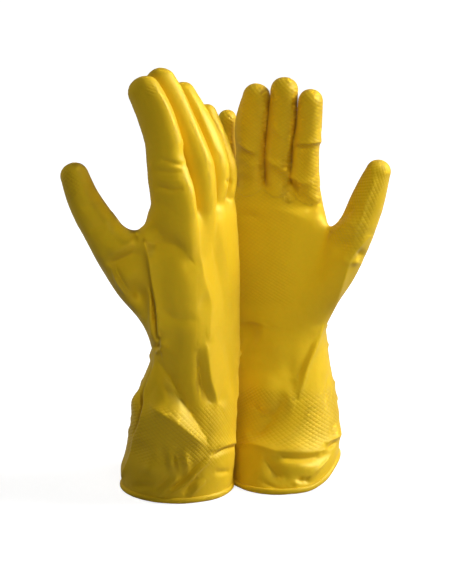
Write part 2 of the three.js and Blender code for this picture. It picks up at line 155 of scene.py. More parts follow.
# Creases: crests and troughs drawn along lines in the front view. Columns are the parts that
# carry it, its widths to the lower left and upper right, and how square it is; then the points:
# across, up, height along the surface normal. An indented line carries on the row above.
CREASES = {"near": """
BT 7 9 1.4: -57.5 35.1 -0.8, -48.3 32.3 -3.2, -36.2 29.5 -3.6, -26.3 23.8 -2.8, -19.2 14.6 -1.2
BT 3 8 1.1: -58.2 35.8 1.4, -53.2 18.8 3, -49.7 -0.4 3, -47.6 -14.6 2.5, -45.8 -35.8 1.8
BT 1.2 1.2 1.5: -54 2.5 -0.6, -50.8 -9.6 -2, -49 -28 -2, -46.9 -38 -1.2
BT 1.6 1.1 1.3: -53.6 -1.8 0.5, -52.7 -18.8 1, -51.1 -33.7 0.7
BT 5 5 1.5: -84.5 24.5 0.8, -74.5 29.5 1.8, -61.8 35.8 1.3
BT 6 4.5 1.4: -85.9 16 -1, -76.7 18.1 -2.6, -66.7 23.1 -2.2, -58.9 29.5 -1
BT 1.2 1 1.3: -81.6 15.3 0.5, -76 5.3 1.3, -70.3 -4.6 0.6
BT 1 1.6 1.3: -79.2 15.3 -0.5, -73.5 5.3 -1.1, -67.4 -4.6 -0.5
B 1.5 1.5 1.4: -51.1 -42.9 -0.5, -48.3 -41.2 -1.3, -45.4 -39.8 -1.1
B 2 1.4 1.3: -49.7 -45.8 0.5, -46.1 -43.7 1, -42.9 -40.1 0.7
B 10 9 1.15: -55.4 -80.6 1, -49 -84.8 3.6, -36.9 -92.3 4.2, -24.8 -102.6 3, -17.7 -109 2,
  -10.6 -115.4 0.8
B 4.5 7.5 1.1: -48.3 -48.6 -0.6, -44 -58.6 -1.8, -37.6 -69.2 -2.8, -29.1 -81.3 -3,
  -19.2 -96.2 -2.3, -9.2 -112.5 -0.9
B 1.6 1.3 1.3: 10.6 -111.8 -0.9, 4.3 -113.2 -1.5, -2.1 -115.4 -1.5, -8.5 -118.9 -0.8
B 1.4 4 1.3: 10.6 -109 0.5, 3.5 -110.4 1, -6.4 -113.9 0.9
B 1.2 1.4 1.3: -8.5 -118.9 0.6, -17.7 -127.4 1.2, -27 -137.4 1.3, -37.6 -144.5 1.1, -44.7 -148 0.5
B 2.6 1.2 1.3: -12.1 -120.3 -0.6, -21.3 -128.1 -1.3, -29.8 -136.7 -1.4, -39 -143 -1
B 1.6 2 1.4: -7.8 -130.3 -0.4, -2.1 -130.6 -0.9, 4.3 -129.6 -0.5
B 1.3 1.3 1.3: -47.6 -147.3 0.4, -40.5 -141.3 1.2, -33.4 -135.2 0.8
B 2.2 1.4 1.3: -51.8 -145.2 -0.4, -44.7 -138.8 -1.2, -37.6 -132.4 -0.5
B 1.5 1.5 1.3: -24.8 -148 0.4, -19.9 -141.6 1, -13.5 -135.9 0.5
B 2 1.6 1.3: -29.8 -147.3 -0.5, -24.8 -140.9 -1.2, -18.5 -133.8 -0.6
B 1.2 5.5 1.15: -49.3 -47.9 0.3, -51.1 -57.9 1, -55.4 -72.8 1.8, -55.4 -82.7 1.8,
  -57.5 -92.6 1.6, -63.9 -106.1 1.2, -67.4 -121.7 1, -71.7 -134.5 0.7
B 2 1.6 1.3: -52.2 -52.2 -0.3, -54.3 -60 -1.3, -58.2 -73.5 -2.5, -58.6 -83.4 -2.6,
  -61.1 -93.4 -2.2, -66.7 -105.4 -1
B 3.2 1.8 1.3: -19.2 -42.2 -0.5, -17 -56.4 -1.5, -14.9 -68.5 -1.8, -8.5 -82.7 -0.8
B 1.8 6 1.3: -13.5 -38 0.6, -12.1 -57.9 1.5, -10.3 -69.2 1.7, -4.3 -81.3 0.8
BI 8 5 1.1: -31.2 97.6 0.5, -27 86.3 1, -24.8 74.2 1.2, -23.4 60.7 1.2, -20.6 42.9 1.2,
  -18.5 27.3 1.4, -15.6 6 1.6, -11.4 -8.2 1.4, -11.4 -20.9 1.2, -12.8 -38 1
B 4 5 1.5: -42.6 -11.7 -0.4, -37.6 -20.9 -0.9, -26.3 -22.4 -0.6, -17.7 -20.9 -0.3
B 3.5 4 1.5: -12.8 54.3 -0.3, -7.8 30.9 -0.8, -2.1 2.5 -0.6, 0.7 -22.4 -0.3
B 3.5 4 1.5: -5.7 52.2 0.3, -0.7 27.3 0.7, 3.5 -1.1 0.6, 5 -29.5 0.3
B 4 4 1.5: 0.7 -36.6 -0.3, 4.3 -59.3 -0.6, 6.4 -82.7 -0.3
IB 1.5 1.5 1.4: -46.1 91.2 -0.5, -37.6 89.4 -1, -29.8 87 -0.8
IB 1.5 1.5 1.4: -48.3 83.4 -0.5, -39 82.3 -0.8, -30.5 82.7 -0.5
IB 1.6 1.6 1.4: -48.3 72.1 -0.5, -39 69.9 -1.1, -29.1 70.6 -0.7
IB 2.2 2.2 1.5: -48.3 77 0.2, -39 76.3 0.4, -30.5 77 0.2
BI 2.4 1.6 1.3: -31.2 99 0.3, -23.4 83.4 0.8, -14.2 66.4 0.8
B 1.6 1.4 1.4: -24.1 63.5 -0.6, -18.5 61.4 -1.8, -12.8 61.4 -0.9
BM 1.2 1.2 1.4: -5.7 89.1 -0.4, -2.1 83.4 -0.7, 1.4 77 -0.4
I 7 3.2 1.1: -53.2 145.2 0.3, -47.6 138.8 0.8, -42.6 129.6 1.1, -37.6 118.2 1.2,
  -31.9 103.3 1.1, -29.1 95.5 0.6
M 6 3.2 1.1: -41.9 158 0.3, -34.8 148 0.8, -28.4 131.7 1, -21.3 113.9 1, -14.2 96.9 0.8,
  -9.2 84.1 0.4
R 5 3 1.1: -27.7 143.8 0.3, -19.2 128.1 0.7, -12.1 111.1 0.8, -5 94.1 0.5
T 3.5 3.5 1.5: -104.4 56.4 -0.3, -94.4 60 -0.9, -87.3 65.7 -0.3
T 4.5 4.5 1.5: -98.7 39.4 -0.4, -88.7 44.4 -1.2, -78.8 51.5 -0.5
""", "far": """
BT 5.5 2.6 1.15: 103.6 39.4 0.7, 95.1 30.2 1.4, 88.7 20.9 1.7, 83.8 6.7 1.8, 77.4 -9.6 1.8,
  68.9 -25.9 1.9, 63.5 -41.5 2.1, 58.6 -53.6 2.2, 55.4 -66.4 1.9, 51.1 -79.2 0.8
B 5 1.6 1.3: 65.3 -30.9 -0.5, 59.6 -45.1 -1.9, 54.7 -56.4 -2, 51.1 -65.7 -0.8
BT 1.3 1.3 1.3: 98.7 18.8 0.4, 90.2 2.5 0.9, 81.6 -11.7 0.9, 73.8 -23.8 0.6
B 4 7 1.4: 29.8 -25.9 0.5, 24.8 -37.3 0.7, 19.9 -47.9 0.4
B 1.6 6 1.3: 9.2 -23.8 0.5, 20.6 -23.8 1, 30.5 -25.9 0.8
B 2 2 1.4: 12.8 -35.1 0.4, 11.4 -47.9 0.8, 12.1 -59.3 0.4
B 2.6 2.6 1.3: 19.9 -82 -0.6, 26.3 -89.1 -1.7, 34.8 -88.4 -1.7, 40.5 -79.2 -0.9
B 3.5 4 1.3: 14.9 -104.7 -1, 23.4 -102.2 -1.9, 30.5 -95.5 -1.5, 36.9 -89.1 -0.6
B 2.8 7 1.2: 9.9 -109.7 1.3, 19.2 -110.4 2, 27.7 -113.2 1.8, 39 -116.1 1.5, 53.2 -116.8 1.7,
  66 -116.8 1.3, 72.4 -114.6 0.5
B 3 2.2 1.3: 38.3 -119.6 -1.2, 53.2 -120.7 -1.9, 67.4 -119.6 -1.2
B 4.5 3.5 1.3: 25.6 -118.2 -0.9, 33.4 -127.4 -1.9, 40.5 -135.9 -1.3
B 1.4 1.6 1.3: 26.3 -137.4 -0.5, 36.2 -141.6 -1.3, 44 -143 -0.8
B 1.3 1.3 1.3: 58.9 -134.5 0.4, 66 -129.6 1.1, 73.1 -124.6 0.6
B 1.6 2.2 1.3: 70.3 -111.8 0.3, 76.7 -111.1 1.2, 80.9 -113.9 0.9
B 2.2 2.2 1.4: 74.5 -59.3 -0.4, 72.4 -73.5 -1, 74.5 -87.7 -0.4
B 1.6 1.6 1.4: 78.1 -94.8 -0.3, 76 -104 -0.9, 77.4 -111.8 -0.4
I 1.3 3.2 1.2: 49.7 103.3 0.8, 58.9 103.6 1.6, 69.6 104.7 1.1
I 1.8 1.2 1.3: 50.4 99.4 -0.8, 56.1 98.7 -1.2, 62.5 99.7 -0.4
MB 2.6 3.4 1.5: 29.1 92.6 -0.6, 37.6 91.2 -1, 47.6 91.2 -0.8
MBI 3 3.4 1.4: 27 95.5 0.5, 31.9 90.5 1.2, 39.8 85.5 1.6, 48.3 79.2 1.6, 55.4 75.6 1.2,
  63.9 74.9 0.7
BMI 6.5 6 1.5: 31.9 85.5 -0.9, 41.2 74.9 -1.7, 51.1 64.2 -1.9, 58.9 59.3 -1.5, 67.4 55.7 -0.8
BI 3 4 1.4: 54.7 69.9 0.4, 62.5 64.2 0.9, 68.9 60.7 0.5
M 2.2 4 1.3: 30.5 115.4 0.5, 36.9 112.5 1.1, 42.6 104 0.7
R 1.4 3.4 1.2: 9.9 104 0.8, 16.3 99 1.6, 23.4 94.8 0.8
RB 1.6 1.8 1.4: 10.6 87 0.3, 19.2 87.3 0.7, 26.3 84.1 0.3
B 1.2 1.4 1.4: 29.8 79.9 0.3, 32.3 74.2 0.9, 34.1 67.1 0.3
B 3.4 2.6 1.4: 9.9 50 -0.8, 17.7 51.8 -1.2, 27 48.6 -0.4
B 6 5 1.4: 10.6 59.3 0.6, 26.3 57.9 1, 46.1 53.6 1, 60.3 47.2 0.4
TB 3.6 4 1.2: 71.7 32.3 0.6, 80.2 40.8 1.6, 88.7 46.5 2.2, 95.8 44.4 1.2
TB 3.6 5 1.3: 74.5 44.4 -0.6, 83.1 51.5 -1.6, 93 57.1 -1.2
T 5 1.8 1.2: 103.6 88.4 0.4, 105.8 75.6 1, 100.8 62.8 1.3, 96.5 48.6 1.2, 90.2 34.4 0.9
"""}

# Dents and swellings in the front view: parts, centre across and up, the two radii,
# degrees clockwise, height along the surface normal.
DENTS = {"near": """
BT -61.1 -6.7  6.4 9.2  0 -3.4
BT -68.9 8.9  7.1 5.7  -20 1
B -43.7 -39  2.1 2.1  0 1.2
B -45.4 -68.5  5 9.9  -14 1.1
B -52.5 -127.4  5.7 4.3  0 1.2
B -37.6 -123.9  3.2 7.1  -8 1.4
B -27.7 -122.5  2.5 7.1  -8 1.1
B -44 -119.6  3.5 7.8  -8 -0.7
B -32.7 -123.9  2.5 8.5  -8 -0.8
B -56.8 -140.2  6.4 2.8  0 -0.9
B -60.3 -114.6  6.4 6.4  0 -0.8
B -63.9 -77  5 12.8  -8 1.9
B -72.4 -126  4.3 8.5  0 1.3
B -2.1 -77.7  3.5 5.7  -20 -0.8
B -14.9 -10.3  3.5 7.1  10 -0.8
B -35.5 -38  6.4 8.5  0 -0.9
BLR 2.8 75.6  2.1 2.1  0 -1
B -9.2 68.5  4.3 3.5  -30 0.7
B -2.8 63.5  3.5 3.5  0 -0.5
""", "far": """
BT 96.2 24.5  2.8 3.2  -20 -1.4
BT 85.5 20.9  2.5 2.5  0 0.9
BT 92.3 19.2  2.5 2.1  0 1
B 17.7 -32.3  7.1 9.9  -6 -1.8
B 29.1 -72.8  10.6 12.1  0 2.5
B 45.4 -77.7  4.3 7.1  -10 1.1
B 55.4 -126.7  13.5 6.4  8 2
B 54 -135.9  2.5 1.8  0 -1.2
B 58.2 -136.3  1.8 1.7  0 -1.1
B 50.4 -138.8  2.8 2.1  0 0.9
B 76 -115.4  2.8 2.4  0 -1.8
B 17.7 -123.2  6.4 11.4  0 -1
B 80.2 -107.5  3.5 8.5  0 1.2
B 36.2 -40.1  7.1 8.5  0 0.7
B 46.1 -59.3  5 9.9  0 -0.7
IB 54 91.9  3.9 6.4  0 -1
RB 14.9 94.1  5.7 3.5  20 -1.3
RB 12.8 87  5 4.3  0 -1.5
BR 13.5 77  5.7 4.3  10 -1.2
TB 83.8 30.2  7.1 4.3  -35 -1.8
"""}

# the raised grip: per family of grooves, the direction across it in degrees, its spacing and
# how deep it cuts
GRIP = ((62.0, 2.2, 0.9), (-44.0, 2.6, 0.85))
GRIP_POWER = 0.7  # rounds the lozenges
GRIP_HEIGHT = 0.16
GRIP_BUMP = 0.0003  # metres, in the shader
# the pattern's repeat round the cuff, and how long one turn of cuff or thumb is in it
GRIP_WRAP = GRIP[0][1] / math.cos(math.radians(GRIP[0][0]))
CUFF_TURN = round(39.0 * 2 * math.pi / GRIP_WRAP) * GRIP_WRAP
THUMB_RADIUS = 12.0
THUMB_TURN = 2 * math.pi * THUMB_RADIUS


# ---------------------------------------------------------------- small maths
def smooth(t):
    t = np.clip(t, 0, 1)
    return t * t * (3 - 2 * t)


def ramp(value, start, over):
    """A smooth rise from 0 to 1; a negative `over` runs it downwards from the start."""
    return smooth((value - start) / over)


def bell(value, at, width):
    return np.exp(-(((value - at) / width) ** 2))


def catmull(rows, steps):
    """A smooth curve through the rows, with this many steps between each two."""
    rows = np.asarray(rows, float)
    count = len(rows)
    place = np.linspace(0, count - 1, (count - 1) * steps + 1)
    i = np.minimum(place.astype(int), count - 2)
    t = (place - i)[:, None]
    a, b, c, d = rows[np.maximum(i - 1, 0)], rows[i], rows[i + 1], rows[np.minimum(i + 2, count - 1)]
    return 0.5 * (2 * b + (c - a) * t + (2 * a - 5 * b + 4 * c - d) * t**2
                  + (3 * b - a - 3 * c + d) * t**3)


def smooth_min(a, b, blend):
    h = np.clip(0.5 + 0.5 * (b - a) / blend, 0, 1)
    return b * (1 - h) + a * h - blend * h * (1 - h)


def unit(vectors):
    return vectors / np.maximum(np.linalg.norm(vectors, axis=-1, keepdims=True), 1e-12)


def dots(a, b):
    return np.einsum("ij,ij->i", a, b)


def interp_rows(place, knots, rows):
    return np.stack([np.interp(place, knots, column) for column in rows.T], axis=-1)


def shares(distances, softness):
    """How much each point belongs to each part, summing to 1."""
    beyond = distances - distances.min(1, keepdims=True)
    weights = np.exp(-np.clip(beyond, 0, 40) / softness)
    return weights / weights.sum(1, keepdims=True)


def joint_place(name):
    return np.array(JOINTS[name]["pos_m"]) * 1000


class Noise:
    """Value noise on a wrapped lattice, the same every run."""

    def __init__(self, seed):
        self.lattice = np.random.default_rng(seed).uniform(-1, 1, (32, 32, 32))

    def __call__(self, points):
        cell = np.floor(points).astype(int)
        part = points - cell
        part = part * part * part * (part * (6 * part - 15) + 10)
        total = 0
        for corner in CORNERS:
            weight = np.where(corner, part, 1 - part)
            value = self.lattice[tuple(((cell + corner) % 32).T)]
            total = total + weight[:, 0] * weight[:, 1] * weight[:, 2] * value
        return total


# ---------------------------------------------------------------- the glove as a distance field
class Digit:
    """A tapering tube along a smooth centre line, with an oval section and a round end."""

    def __init__(self, rows, across):
        table = catmull(rows, 10)
        self.centre, self.width, self.depth = table[:, :3], table[:, 3], table[:, 4]
        steps = np.linalg.norm(np.diff(self.centre, axis=0), axis=1)
        self.along = np.concatenate([[0], np.cumsum(steps)])
        self.length = self.along[-1]
        self.run = unit(np.gradient(self.centre, self.along, axis=0))
        self.across = unit(across - (self.run @ across)[:, None] * self.run)
        self.through = np.cross(self.run, self.across)
        self.cap = 0.5 * (self.width[-1] + self.depth[-1])

    def rows_at(self, along, *tables):
        return [interp_rows(along, self.along, table) for table in tables]

    def locate(self, points):
        """Distance along the centre line; it runs past both ends."""
        first = self.centre[0]
        chord = self.centre[-1] - first
        along = (points - first) @ chord / np.dot(chord, chord) * self.length
        for _ in range(4):
            held = np.clip(along, 0, self.length)
            centre, run = self.rows_at(held, self.centre, self.run)
            along = held + dots(points - centre, run)
        return along

    def distance(self, points):
        along = self.locate(points)
        held = np.clip(along, 0, self.length)
        centre, run, across, through = self.rows_at(
            held, self.centre, self.run, self.across, self.through)
        width, depth = (np.interp(held, self.along, v) for v in (self.width, self.depth))
        offset = points - centre
        x, y, z = dots(offset, across), dots(offset, through), dots(offset, run)
        before_start = np.where(along < 0, np.minimum(z, 0), 0)
        z = np.where(along > self.length, np.maximum(z, 0), before_start)
        power = 2.15
        gauge = ((np.abs(x) / width) ** power + (np.abs(y) / depth) ** power
                 + (np.abs(z) / self.cap) ** power) ** (1 / power)
        return np.sqrt(x * x + y * y + z * z) * (1 - 1 / np.maximum(gauge, 1e-3))


class Glove:
    """Local axes: towards the thumb, towards the palm, up."""

    def __init__(self, name):
        spec = GLOVES[name]
        self.name, self.spec = name, spec
        turn = math.radians(spec["turn"])
        self.thumbward = np.array([math.cos(turn), math.sin(turn)])
        self.palmward = np.array([math.sin(turn), -math.cos(turn)])
        origin = np.array(spec["origin"], float)
        self.origin = origin + OFFSET
        rows = np.array(spec["body"], float)
        plan = rows[:, 1:3] - origin
        body = catmull(np.column_stack(
            [rows[:, 0], plan @ self.thumbward, plan @ self.palmward, rows[:, 3:]]), 12)
        self.body = body[np.concatenate([[True], np.diff(body[:, 0]) > 1e-6])]
        self.digit = {}
        for digit, rows in spec["digits"].items():
            across = np.array([1.0, 0, 0])
            if digit == "thumb":
                rows = np.array(rows, float)
                run = unit(rows[-1, :3] - rows[2, :3])
                inward = np.array([-0.6, 0.8, 0.0])
                across = np.cross(run, unit(inward - (inward @ run) * run))
            self.digit[digit] = Digit(rows, across)
        self.knuckle = {d: spec["digits"][d][2][0] for d in DIGITS[:4]}

    def to_local(self, points):
        plan = points[:, :2] - self.origin
        return np.column_stack([plan @ self.thumbward, plan @ self.palmward, points[:, 2]])

    def to_world(self, local):
        plan = self.origin + local[:, :1] * self.thumbward + local[:, 1:2] * self.palmward
        return np.column_stack([plan, local[:, 2]])

    def direction_to_world(self, vector):
        return np.append(vector[0] * self.thumbward + vector[1] * self.palmward, vector[2])

    def body_distance(self, points, spread):
        z = points[:, 2]
        centre_x, centre_y, width, depth, power = interp_rows(
            z, self.body[:, 0], self.body[:, 1:]).T
        x, y = points[:, 0] / (1 + spread) - centre_x, points[:, 1] - centre_y
        gauge = ((np.abs(x) / width) ** power + (np.abs(y) / depth) ** power) ** (1 / power)
        side = np.hypot(x, y) * (1 - 1 / np.maximum(gauge, 1e-3))
        return np.maximum(side, z - self.body[-1, 0])

    def spread(self, z):
        return 0.24 * ramp(z, start=203.0, over=29.0)

    def distances(self, points):
        """To the body and each digit in the spread pose, where the fingers stand further apart."""
        spread = self.spread(points[:, 2])
        found = [self.body_distance(points, spread)]
        for digit in DIGITS:
            shifted = points.copy()
            if digit != "thumb":
                shifted[:, 0] -= spread * self.knuckle[digit]
            found.append(self.digit_distance(digit, shifted))
        return found

    def digit_distance(self, name, points):
        """Worked out only within a box round the digit."""
        digit = self.digit[name]
        low, high = digit.centre.min(0) - 26, digit.centre.max(0) + 26
        found = np.full(len(points), 30.0)
        boxed = np.all((points > low) & (points < high), axis=1)
        if boxed.any():
            found[boxed] = digit.distance(points[boxed])
        return found

    def field(self, points):
        body, *fingers, thumb = self.distances(points)
        # the web between thumb and hand is a wider curve than the rest of the thumb's root
        height, extra = self.spec["web"]
        joined = smooth_min(body, thumb, 13.0 + extra * bell(points[:, 2], at=height, width=17.0))
        for finger in fingers:
            joined = smooth_min(joined, finger, blend=6.5)
        return joined

    def unspread(self, points):
        """Bring the fingers back together."""
        spread = self.spread(points[:, 2])
        share = shares(np.stack(self.distances(points), 1), softness=1.6)
        shift = share[:, 0] * (points[:, 0] - points[:, 0] / (1 + spread))
        for i, finger in enumerate(DIGITS[:4]):
            shift = shift + share[:, i + 1] * spread * self.knuckle[finger]
        together = points.copy()
        together[:, 0] -= shift
        return together


# ---------------------------------------------------------------- surface meshing
def surface_nets(field, origin, spacing):
    """Quads round the zero level of a grid of distances, and each vertex's layer in z."""
    inside = field < 0
    nx, ny, nz = field.shape
    count = np.zeros((nx - 1, ny - 1, nz - 1), np.int8)
    for i, j, k in CORNERS:
        count += inside[i:nx - 1 + i, j:ny - 1 + j, k:nz - 1 + k]
    active = (count > 0) & (count < 8)
    cells = np.argwhere(active)
    ids = np.full(active.shape, -1, np.int64)
    ids[active] = np.arange(len(cells))
    total, hits = np.zeros((len(cells), 3)), np.zeros(len(cells))
    quads = []
    for axis in range(3):
        side, other = [a for a in range(3) if a != axis]
        # a vertex is the mean of the crossings on its cell's edges
        for u, v in itertools.product((0, 1), repeat=2):
            start = cells.copy()
            start[:, side] += u
            start[:, other] += v
            end = start.copy()
            end[:, axis] += 1
            at_start, at_end = field[tuple(start.T)], field[tuple(end.T)]
            crossed = (at_start < 0) != (at_end < 0)
            crossing = start[crossed].astype(float)
            crossing[:, axis] += at_start[crossed] / (at_start[crossed] - at_end[crossed])
            total[crossed] += crossing
            hits[crossed] += 1
        # a quad joins the four cells round each crossed edge
        low = [slice(1, -1)] * 3
        low[axis] = slice(0, -1)
        high = list(low)
        high[axis] = slice(1, None)
        base = np.argwhere(inside[tuple(low)] != inside[tuple(high)])
        base[:, side] += 1
        base[:, other] += 1
        ring = []
        for u, v in ((-1, -1), (0, -1), (0, 0), (-1, 0)):
            cell = base.copy()
            cell[:, side] += u
            cell[:, other] += v
            ring.append(ids[tuple(cell.T)])
        quad = np.stack(ring, 1)
        flip = inside[tuple(base.T)]
        if axis == 1:
            flip = ~flip
        quads.append(np.where(flip[:, None], quad[:, ::-1], quad))
    return origin + spacing * total / hits[:, None], np.concatenate(quads), cells[:, 2]


def sides_of(quads):
    return np.concatenate([quads[:, [i, (i + 1) % 4]] for i in range(4)])


def edges_of(quads):
    """Each edge once, and which edge every side is."""
    return np.unique(np.sort(sides_of(quads), axis=1), axis=0, return_inverse=True)


def boundary_edges(quads):
    """Directed edges that only one quad has."""
    sides = sides_of(quads)
    _, inverse, count = np.unique(
        np.sort(sides, axis=1), axis=0, return_inverse=True, return_counts=True)
    return sides[count[inverse] == 1]


def subdivide(points, quads):
    edges, inverse = edges_of(quads)
    middle = len(points) + inverse.reshape(4, len(quads))
    centre = len(points) + len(edges) + np.arange(len(quads))
    parts = [np.stack([quads[:, i], middle[i], centre, middle[(i - 1) % 4]], 1) for i in range(4)]
    points = np.concatenate([points, points[edges].mean(1), points[quads].mean(1)])
    return points, np.concatenate(parts), edges


def neighbours_mean(values, edges):
    count = len(values)
    a, b = edges.T
    total = np.zeros(values.shape)
    for k in range(values.shape[1]):
        total[:, k] = np.bincount(a, values[b, k], count) + np.bincount(b, values[a, k], count)
    degree = np.bincount(a, minlength=count) + np.bincount(b, minlength=count)
    return total / np.maximum(degree, 1)[:, None]


def quad_normals(points, quads):
    return np.cross(points[quads[:, 2]] - points[quads[:, 0]],
                    points[quads[:, 3]] - points[quads[:, 1]])


def vertex_normals(points, quads):
    face = quad_normals(points, quads)
    normals = np.zeros_like(points)
    for k in range(3):
        for corner in range(4):
            normals[:, k] += np.bincount(quads[:, corner], face[:, k], len(points))
    return unit(normals)


def project(glove, points, fixed):
    """Pull points onto the zero level; fixed ones keep their height."""
    probe = 0.08
    for _ in range(2):
        value = glove.field(points)
        slope = np.zeros_like(points)
        for k in range(3):
            ahead, behind = points.copy(), points.copy()
            ahead[:, k] += probe
            behind[:, k] -= probe
            slope[:, k] = (glove.field(ahead) - glove.field(behind)) / (2 * probe)
        slope[fixed, 2] = 0
        step = (value / np.maximum((slope**2).sum(1), 0.2))[:, None] * slope
        size = np.linalg.norm(step, axis=1, keepdims=True)
        points = points - step * np.minimum(1, 1.2 / np.maximum(size, 1e-9))
    return points


def make_surface(glove):
    """The open surface in the spread pose, the coarse quads under it and its fixed rim."""
    low = np.array([-52.0, -58.0, RIM_Z - GRID / 2])
    high = np.array([104.0, 80.0, 320.0])
    counts = np.ceil((high - low) / GRID).astype(int) + 1
    axes = [low[i] + GRID * np.arange(counts[i]) for i in range(3)]
    grid = np.meshgrid(*axes, indexing="ij")
    field = glove.field(np.column_stack([a.ravel() for a in grid])).reshape(grid[0].shape)
    points, coarse, layer = surface_nets(field, low, GRID)
    fixed = layer == 0
    points[fixed, 2] = RIM_Z
    points = project(glove, points, fixed)
    edges, _ = edges_of(coarse)
    # even out the spacing by sliding along the surface
    for _ in range(3):
        normals = vertex_normals(points, coarse)
        shift = neighbours_mean(points, edges) - points
        shift -= dots(shift, normals)[:, None] * normals
        shift[fixed] = 0
        points = points + 0.5 * shift
    points = project(glove, points, fixed)
    coarse_count = len(points)
    points, quads, edges = subdivide(points, coarse)
    fixed = np.concatenate([fixed, fixed[edges].all(1), np.zeros(len(coarse), bool)])
    return project(glove, points, fixed), quads, coarse_count, coarse, fixed


# ---------------------------------------------------------------- folds
def view_coords(points):
    """Across and up in the front view, in millimetres at the object's distance."""
    dip = math.radians(VIEW_DIP)
    x = points[:, 0] - EYE[0]
    y = points[:, 1] + VIEW_DISTANCE - OFFSET[1]
    z = points[:, 2] - EYE[2]
    depth = y * math.cos(dip) - z * math.sin(dip)
    up = y * math.sin(dip) + z * math.cos(dip)
    return np.column_stack([x / depth, up / depth]) * VIEW_DISTANCE


def crease_height(view, points, width_low, width_high, power):
    """Height of a crest or trough drawn along a line, with its own width on each side."""
    points = np.array(points)
    first, last = points[0, :2], points[-1, :2]
    chord = last - first
    turn = 1.0 if np.array([-chord[1], chord[0]]) @ np.array([1.0, 0.6]) > 0 else -1.0
    reach = 3.2 * max(width_low, width_high)
    low, high = points[:, :2].min(0) - reach, points[:, :2].max(0) + reach
    boxed = np.all((view > low) & (view < high), axis=1)
    height = np.zeros(len(view))
    if not boxed.any():
        return height
    curve = catmull(points, 6)
    spots = view[boxed]
    nearest, side, crest = np.full(len(spots), 1e9), np.zeros(len(spots)), np.zeros(len(spots))
    for a, b in zip(curve[:-1], curve[1:]):
        run = b[:2] - a[:2]
        t = np.clip((spots - a[:2]) @ run / max(float(run @ run), 1e-9), 0, 1)
        offset = spots - a[:2] - t[:, None] * run
        away = np.hypot(offset[:, 0], offset[:, 1])
        closer = away < nearest
        nearest[closer] = away[closer]
        side[closer] = ((run[0] * offset[:, 1] - run[1] * offset[:, 0]) * turn)[closer]
        crest[closer] = (a[2] + t * (b[2] - a[2]))[closer]
    width = np.where(side > 0, width_high, width_low)
    # fade both ends so that no line stops dead
    ends = np.minimum(*(smooth(np.hypot(*(spots - end).T) / (1.3 * width)) for end in (first, last)))
    height[boxed] = crest * np.exp(-((nearest / width) ** power)) * (0.35 + 0.65 * ends)
    return height


def dent_height(view, across, up, radius_across, radius_up, clockwise, height):
    turn = math.radians(-clockwise)
    x, y = view[:, 0] - across, view[:, 1] - up
    u = (x * math.cos(turn) + y * math.sin(turn)) / radius_across
    v = (-x * math.sin(turn) + y * math.cos(turn)) / radius_up
    return height * np.exp(-(u * u + v * v))


def front_folds(name, view):
    """Each fold of the tables: the letters of its parts and its height at every point."""
    for row in CREASES[name].strip().replace("\n  ", " ").splitlines():
        head, points = row.split(":")
        parts, *shape = head.split()
        points = [[float(v) for v in point.split()] for point in points.split(",")]
        yield parts, crease_height(view, points, *map(float, shape))
    for row in DENTS[name].strip().splitlines():
        parts, *shape = row.split()
        yield parts, dent_height(view, *map(float, shape))


